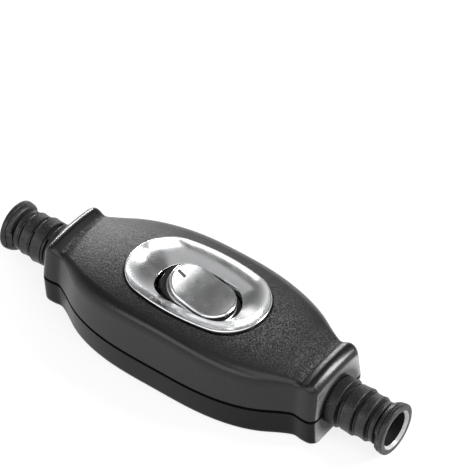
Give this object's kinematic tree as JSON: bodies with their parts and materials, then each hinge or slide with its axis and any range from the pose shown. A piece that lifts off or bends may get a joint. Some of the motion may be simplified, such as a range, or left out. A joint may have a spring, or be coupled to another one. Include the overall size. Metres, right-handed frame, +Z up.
{
  "type": "inline cord switch",
  "caption": "Inline rocker switch for a flexible cord: lens-shaped two-shell housing, dished oval bezel, tilting plated rocker and ribbed strain reliefs at both ends.",
  "frame": {"origin": "centre of the flat underside, midway between the cord entries", "axes": "+X along the cord towards the load end, +Y towards the rear long side with the earth link, +Z up through the rocker"},
  "size_m": [0.12, 0.0382, 0.0241],
  "materials": {
    "shell": "black, fine spark-eroded grain on top, satin sides",
    "bezel_plating": "satin chrome plating",
    "cap_plating": "satin chrome plating",
    "rocker_plastic": "plain black",
    "frame_plastic": "plain black",
    "relief_rubber": "matt black",
    "contact_brass": "stamped or milled",
    "contact_silver": "plain silver",
    "screw_steel": "zinc plated",
    "clamp_plastic": "plain black",
    "plunger_plastic": "plain natural",
    "spring_steel": "bright wire"
  },
  "bodies": {
    "housing": {"upper_shell": "shell", "lower_shell": "shell", "bezel": "bezel_plating", "switch_frame": "frame_plastic", "frame_screws": "screw_steel", "fixed_tips": "contact_silver", "line_terminal_front": "contact_brass", "line_terminal_rear": "contact_brass", "load_terminal_front": "contact_brass", "load_terminal_rear": "contact_brass", "terminal_screws": "screw_steel", "earth_link": "contact_brass", "earth_screws": "screw_steel", "cord_clamp_left": "clamp_plastic", "cord_clamp_right": "clamp_plastic", "clamp_screws": "screw_steel", "strain_relief_left": "relief_rubber", "strain_relief_right": "relief_rubber", "housing_screws": "screw_steel"},
    "rocker": {"rocker_body": "rocker_plastic", "rocker_cap": "cap_plating", "plunger_spring_front": "spring_steel", "plunger_spring_rear": "spring_steel"},
    "front_plunger": {"plunger_front": "plunger_plastic"},
    "rear_plunger": {"plunger_rear": "plunger_plastic"},
    "front_lever": {"contact_lever_front": "contact_brass", "moving_tip_front": "contact_silver"},
    "rear_lever": {"contact_lever_rear": "contact_brass", "moving_tip_rear": "contact_silver"}
  },
  "joints": [
    {"name": "rocker_tilt", "type": "hinge", "parent": "housing", "child": "rocker", "pos_m": [0, 0, 0.0149], "axis": [0, 1, 0], "range_deg": [-28, 0]},
    {"name": "front_lever_tilt", "type": "hinge", "parent": "housing", "child": "front_lever", "pos_m": [0, -0.0038, 0.0064], "axis": [0, 1, 0], "range_deg": [0, 15]},
    {"name": "front_plunger_slide", "type": "slide", "parent": "rocker", "child": "front_plunger", "axis": [0.2419, 0, 0.9703], "range_m": [-0.0005, 0.0005], "stiffness_N_per_m": 400, "deforming": ["plunger_spring_front"]},
    {"name": "rear_lever_tilt", "type": "hinge", "parent": "housing", "child": "rear_lever", "pos_m": [0, 0.0038, 0.0064], "axis": [0, 1, 0], "range_deg": [0, 15]},
    {"name": "rear_plunger_slide", "type": "slide", "parent": "rocker", "child": "rear_plunger", "axis": [0.2419, 0, 0.9703], "range_m": [-0.0005, 0.0005], "stiffness_N_per_m": 400, "deforming": ["plunger_spring_rear"]}
  ],
  "couplings": [
    {"joint": "front_lever_tilt", "follows": "rocker_tilt", "ratio": -0.53571},
    {"joint": "rear_lever_tilt", "follows": "rocker_tilt", "ratio": -0.53571}
  ]
}
